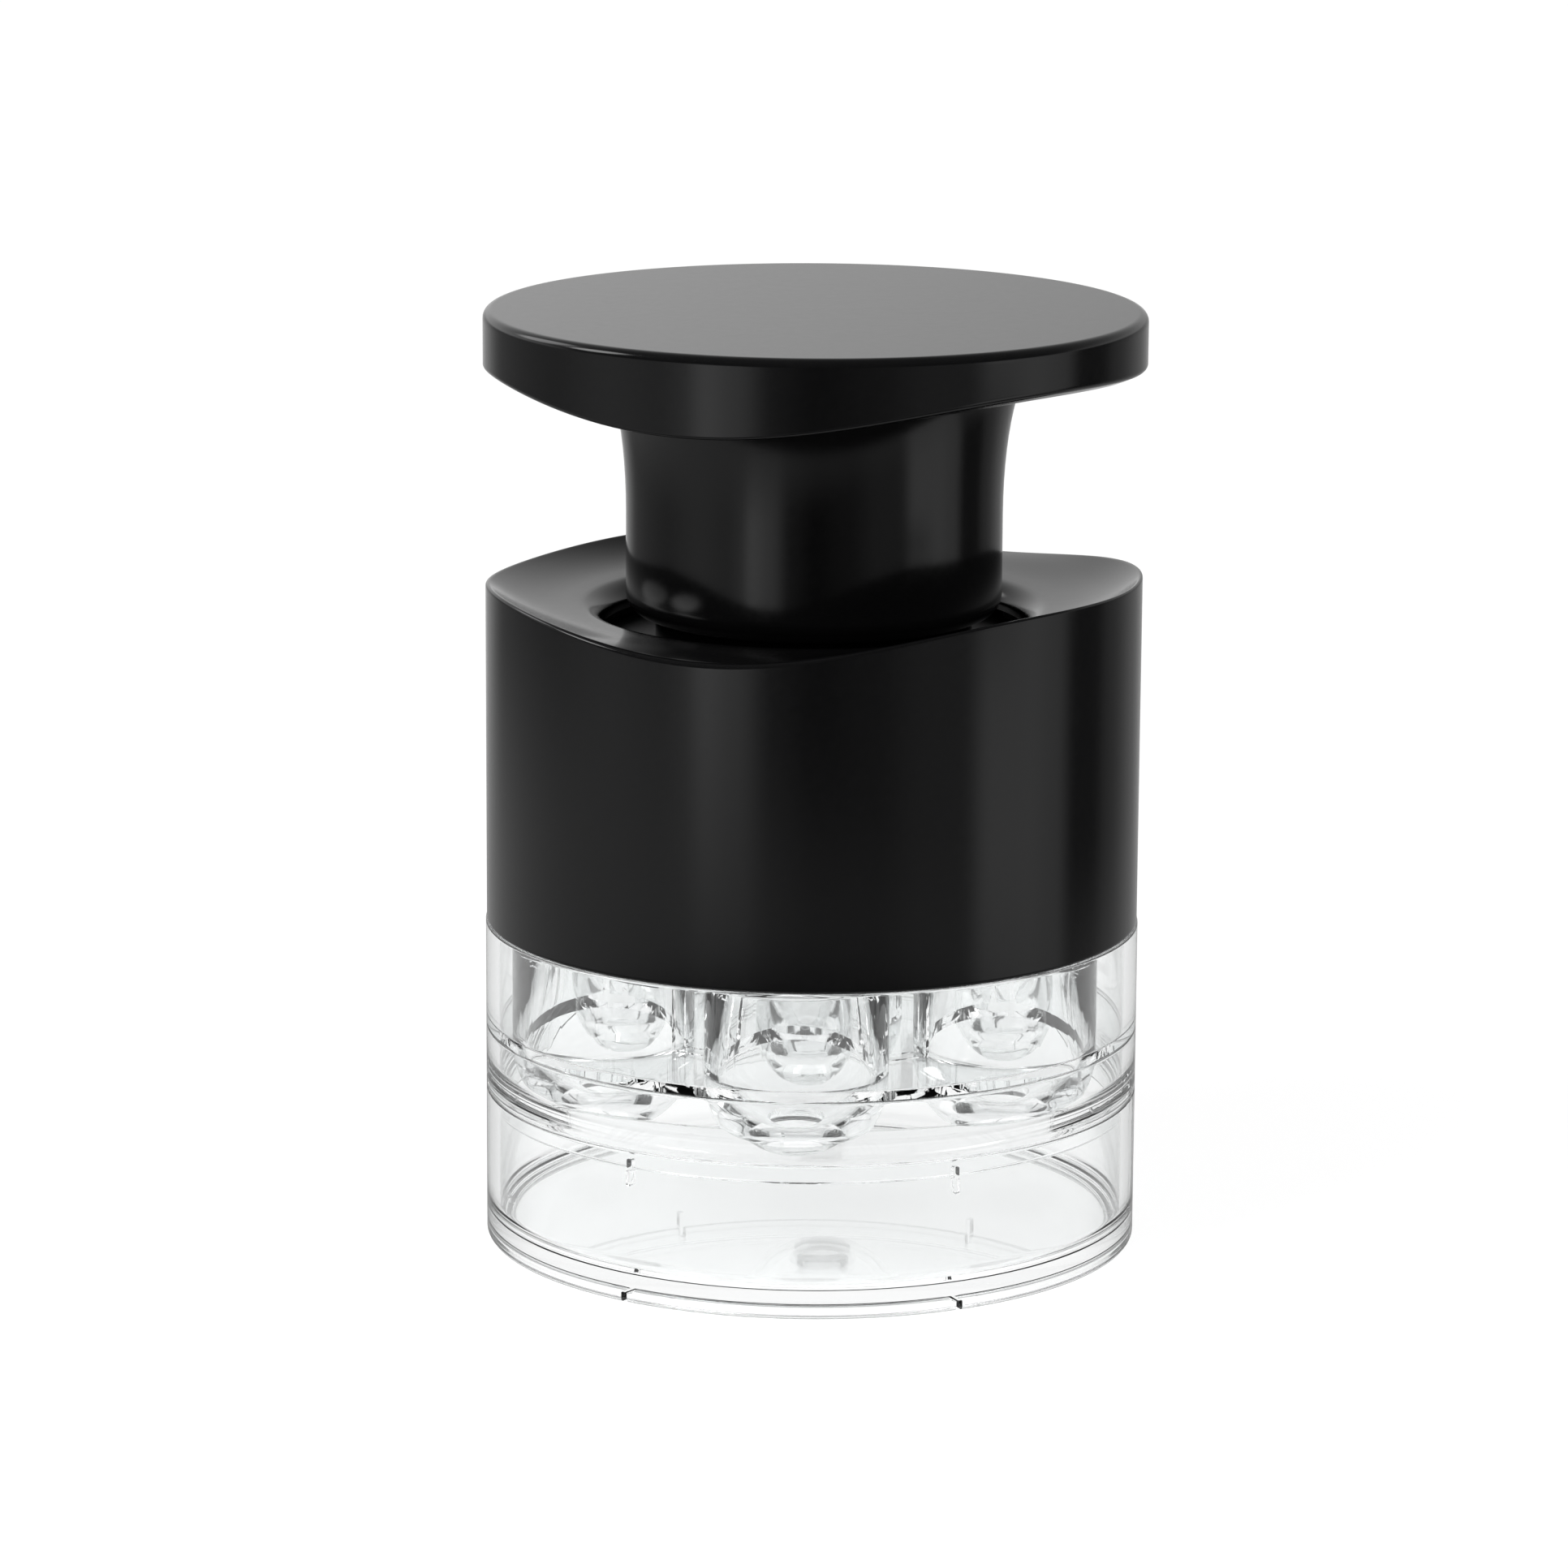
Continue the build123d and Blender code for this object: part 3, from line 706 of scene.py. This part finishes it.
# %% Put each finish on its parts
nodes_of = frame["nodes"]
wears = {
    black: [body, neck, cap],
    clear: [pot, tray],
    dark: [nodes_of[n] for n in ("guide_plate", "plunger_carrier", "clamp_plate")],
    steel: [spring, nodes_of["guide_plate_screws"], nodes_of["neck_screws"]]
    + [nodes_of[f"plunger_rod_{k}"] for k in range(1, 8)],
    rubber: [nodes_of["stop_pads"]],
}
for material, parts in wears.items():
    for part in parts:
        part.data.materials.clear()
        part.data.materials.append(material)
    print(material.name, "on", [part.name for part in parts])

# %% [markdown]
# ## The floor
# The floor is white to the eye and keeps a soft shadow: most of its light is its own, and a share is
# what the lamps give it. Its own share grows with the distance, as the lamps stand near the part, so
# its far edge melts into the white behind it. Glossy sides see a studio table that fades to dark
# towards the viewer, with painted patches of light and painted dark on it, which the black parts show
# as painted reflections.

# %% Floor
FLOOR_RADIUS, FLOOR_DROP = 4, 0.0002
RANGE_SOCKETS = ("From Min", "From Max", "To Min", "To Max")
only(None)
bpy.ops.mesh.primitive_circle_add(vertices=96, radius=FLOOR_RADIUS, fill_type="NGON")
floor = bpy.context.object
floor.name = "floor"
floor.location.z = -FLOOR_DROP
paper = bpy.data.materials.new("white paper")
paper.use_nodes = True
nodes, links = paper.node_tree.nodes, paper.node_tree.links
nodes.clear()


def shader_node(kind, **values):
    """A node of the floor or the world with its sockets set."""
    node = nodes.new(kind)
    for socket, value in values.items():
        node.inputs[socket].default_value = value
    return node


def blend(kind, first, second, share=None):
    """Mixes or adds two shaders."""
    node = nodes.new(kind)
    start = 1 if kind == "ShaderNodeMixShader" else 0
    links.new(first, node.inputs[start])
    links.new(second, node.inputs[start + 1])
    if share is not None:
        links.new(share, node.inputs["Fac"])
    return node.outputs[0]


def distance_range(centre, near, far, at_near, at_far):
    """A value that changes evenly between two distances from a point on the floor."""
    away, change = nodes.new("ShaderNodeVectorMath"), nodes.new("ShaderNodeMapRange")
    away.operation, away.inputs[1].default_value = "DISTANCE", (*centre, 0)
    links.new(place.outputs["Object"], away.inputs[0])
    links.new(away.outputs["Value"], change.inputs["Value"])
    for socket, value in zip(RANGE_SOCKETS, (near, far, at_near, at_far)):
        change.inputs[socket].default_value = value
    return change.outputs["Result"]


# %% What the eye sees of the floor, and what lights it
place = nodes.new("ShaderNodeTexCoord")
glow = distance_range((0, 0), 0.5, 1.8, 0.8, 0.86)
own = shader_node("ShaderNodeEmission")
links.new(glow, own.inputs["Strength"])
shaded = shader_node("ShaderNodeBsdfDiffuse", Color=(0.3, 0.3, 0.3, 1)).outputs[0]
seen = blend("ShaderNodeAddShader", own.outputs[0], shaded)
lit = shader_node("ShaderNodeBsdfDiffuse", Color=(0.8, 0.8, 0.8, 1)).outputs[0]


# %% What glossy sides see of the table: painted patches of light and dark, seen only in reflections
def painted_patch(under, centre, near, far, share, light):
    """A soft round painted patch of light or dark on the table, seen only in reflections, over what
    lies under it.
    """
    patch_light = shader_node("ShaderNodeEmission", Strength=light).outputs[0]
    fade = distance_range(centre, near, far, share, 0.0)
    return blend("ShaderNodeMixShader", under, patch_light, fade)


# Painted patches of light and dark on the floor, seen only by glossy rays: painted reflections in the
# black parts.
PAINTED_PATCHES = [
    ((-0.12, -0.02), 0.21, 0.43, 0.9, 0.4),  # a painted pool of light on the table on the left, seen in reflections
    ((0.66, -0.30), 0.08, 0.22, 0.7, 0.08),  # a painted dim patch of light on the right, seen in reflections
    ((0, -0.06), 0.19, 0.21, 1.0, 0.0),  # painted dark in front, which the neck mirrors as a dark band under the cap
    ((0, 0), 0.13, 0.18, 1.0, 0.35),  # a painted pool of light close round the foot, seen in reflections
]
mirrored = shader_node("ShaderNodeBsdfTransparent").outputs[0]
for values in PAINTED_PATCHES:
    mirrored = painted_patch(mirrored, *values)

# %% Which ray sees which
path, either = nodes.new("ShaderNodeLightPath"), nodes.new("ShaderNodeMath")
either.operation = "MAXIMUM"
links.new(path.outputs["Is Camera Ray"], either.inputs[0])
links.new(path.outputs["Is Transmission Ray"], either.inputs[1])
plain = blend("ShaderNodeMixShader", lit, mirrored, path.outputs["Is Glossy Ray"])
surface = blend("ShaderNodeMixShader", plain, seen, either.outputs[0])
links.new(surface, nodes.new("ShaderNodeOutputMaterial").inputs["Surface"])
floor.data.materials.append(paper)
print("floor:", floor.name, "with", len(PAINTED_PATCHES), "patches for glossy sides")

# %% [markdown]
# ## The studio
# Glossy black shows the room rather than itself. A studio hangs tall strips of light beside such a
# part and keeps the rest dark, and a pale wall stands behind it. The world holds that room: for
# glossy rays its light depends on the direction round the part, and eyes and clear plastic see white.
# All other rays find one soft grey, so the room lights the part evenly.

# %% World: degrees and light round the part and up from the wall behind, and two small glints
world = bpy.data.worlds.new("studio")
bpy.context.scene.world = world
world.use_nodes = True
nodes, links = world.node_tree.nodes, world.node_tree.links
nodes.clear()
STRIPS = [
    *[(-180, 0.9), (-160, 0.45), (-138, 0.18), (-104, 0.18), (-72, 0.36), (-54, 0.3)],
    *[(-46, 0.42), (-38, 0.96), (-27, 0.66), (-14, 0.1)],  # the strong strip on the left
    *[(0, 0.02), (20, 0.07), (40, 0.18), (54, 0.18)],  # the dark side of the viewer
    *[(64, 0.7), (80, 0.64), (94, 0.46), (104, 0.04)],  # the wide strip on the right
    *[(116, 0.04), (126, 0.14), (150, 0.28), (166, 0.4), (180, 0.9)],  # round to the pale wall
]
SKY = [(0, 0.63), (14, 0.64), (42, 0.3), (70, 0.14), (100, 0.08), (180, 0.03)]
HORIZON = (0.02, 0.1)  # where the strips give way to the sky
LEFT_AND_RIGHT = (-0.1, 0.1, 1.2, 0.8)  # how much brighter and darker the sky is on the two sides
SPOTS = [((-0.85, -0.07, 0.52), 0.975, 0.99, 6.0), ((-0.78, 0.40, 0.48), 0.97, 0.985, 3.0)]


def maths(operation, *values):
    """A Math node fed by numbers or by other nodes."""
    node = nodes.new("ShaderNodeMath")
    node.operation = operation
    for socket, value in zip(node.inputs, values):
        if isinstance(value, (int, float)):
            socket.default_value = value
        else:
            links.new(value, socket)
    return node.outputs[0]


def ranged(value, low, high, at_low=0.0, at_high=1.0):
    """A Map Range node between two values."""
    node = nodes.new("ShaderNodeMapRange")
    links.new(value, node.inputs["Value"])
    for socket, number in zip(RANGE_SOCKETS, (low, high, at_low, at_high)):
        node.inputs[socket].default_value = number
    return node.outputs["Result"]


def towards(direction):
    """How far the direction of view points along another: 1 when they are the same."""
    node = nodes.new("ShaderNodeVectorMath")
    node.operation, node.inputs[1].default_value = "DOT_PRODUCT", direction
    links.new(where.outputs["Generated"], node.inputs[0])
    return node.outputs["Value"]


def grey_ramp(value, stops):
    """A Color Ramp with grey stops given as position and light."""
    node = nodes.new("ShaderNodeValToRGB")
    for position, _ in stops[1:-1]:
        node.color_ramp.elements.new(position)
    for stop, (position, light) in zip(node.color_ramp.elements, stops):
        stop.position, stop.color = position, (light, light, light, 1)
    links.new(value, node.inputs["Fac"])
    return node


# %% Strips of light round the part
where, split = nodes.new("ShaderNodeTexCoord"), nodes.new("ShaderNodeSeparateXYZ")
links.new(where.outputs["Generated"], split.inputs[0])
heading = maths("ARCTAN2", split.outputs["Y"], split.outputs["X"])
from_viewer = maths("DIVIDE", maths("SUBTRACT", heading, VIEW_SIDE), math.tau)
turn = maths("FRACT", maths("ADD", from_viewer, 0.5))
strips = grey_ramp(turn, [((angle + 180) / 360, light) for angle, light in STRIPS])
strips.color_ramp.interpolation = "EASE"

# %% Sky over the strips, a little brighter on the left
back = towards((-math.cos(VIEW_SIDE), -math.sin(VIEW_SIDE), 0))
rise = maths("DIVIDE", maths("ARCTAN2", split.outputs["Z"], back), math.pi)
sky = grey_ramp(rise, [(angle / 180, light) for angle, light in SKY])
aside = towards((-math.sin(VIEW_SIDE), math.cos(VIEW_SIDE), 0))
uneven = nodes.new("ShaderNodeVectorMath")
uneven.operation = "SCALE"
links.new(sky.outputs["Color"], uneven.inputs[0])
links.new(ranged(aside, *LEFT_AND_RIGHT), uneven.inputs["Scale"])
room = nodes.new("ShaderNodeMix")
room.data_type = "RGBA"
links.new(ranged(split.outputs["Z"], *HORIZON), room.inputs["Factor"])
links.new(strips.outputs["Color"], room.inputs[6])
links.new(uneven.outputs[0], room.inputs[7])

# %% Two glints for the neck's foot, and white for the eye
mirror = nodes.new("ShaderNodeBackground")
links.new(room.outputs[2], mirror.inputs["Color"])
glossy = mirror.outputs[0]
for direction, edge_of_spot, middle, light in SPOTS:
    spot = ranged(towards(direction), edge_of_spot, middle)
    panel = shader_node("ShaderNodeBackground", Strength=light).outputs[0]
    glossy = blend("ShaderNodeMixShader", glossy, panel, spot)
path = nodes.new("ShaderNodeLightPath")
eye = maths("MAXIMUM", path.outputs["Is Camera Ray"], path.outputs["Is Transmission Ray"])
soft = shader_node("ShaderNodeBackground", Strength=0.6).outputs[0]
white = shader_node("ShaderNodeBackground", Color=(1, 1, 1, 1), Strength=1.0).outputs[0]
around = blend("ShaderNodeMixShader", soft, glossy, path.outputs["Is Glossy Ray"])
surface = blend("ShaderNodeMixShader", around, white, eye)
links.new(surface, nodes.new("ShaderNodeOutputWorld").inputs["Surface"])
print("world:", len(STRIPS), "stops round the part,", len(SPOTS), "small glints")

# %% [markdown]
# Two soft lamps over the part give the floor its faint shadow and the matte parts their shape. The
# world already holds what glossy sides mirror, so the lamps stay out of the reflections.

# %% Lamps
MIDDLE = (0, 0, 0.07)


def softbox(name, place, size, power):
    """A square area lamp that looks at the middle of the part."""
    lamp = bpy.data.lights.new(name, "AREA")
    lamp.size, lamp.energy = size, power
    obj = bpy.data.objects.new(name, lamp)
    bpy.context.collection.objects.link(obj)
    towards_lamp = Vector(place) - Vector(MIDDLE)
    turn = towards_lamp.to_track_quat("Z", "Y").to_matrix().to_4x4()
    obj.matrix_world = Matrix.Translation(place) @ turn
    obj.visible_glossy = False
    print(name, "-", power, "W")


softbox("key", (-0.7, -0.6, 1.1), 0.6, 9)
softbox("fill", (0.9, -0.3, 1.0), 0.8, 6)

# %% [markdown]
# ## The camera
# The part is seen from a little above with a long lens, from almost a metre away. The numbers were
# found by fitting the outlines of the round parts to the photograph.

# %% Camera
SENSOR_WIDTH, FOCAL_LENGTH = 36, 147.71
CAMERA_PLACE = (0.05849, -0.95635, 0.28446)
heading, down, roll = math.radians(3.7607), math.radians(12.6276), math.radians(0.3234)
bpy.context.scene.view_settings.view_transform = "Standard"
lens = bpy.data.cameras.new("camera")
lens.sensor_width, lens.lens = SENSOR_WIDTH, FOCAL_LENGTH
camera = bpy.data.objects.new("camera", lens)
bpy.context.collection.objects.link(camera)
camera.matrix_world = (
    Matrix.Translation(CAMERA_PLACE)
    @ Matrix.Rotation(heading, 4, "Z")
    @ Matrix.Rotation(math.pi / 2 - down, 4, "X")
    @ Matrix.Rotation(roll, 4, "Z")
)
bpy.context.scene.camera = camera
print("camera:", [round(c, 3) for c in camera.location])
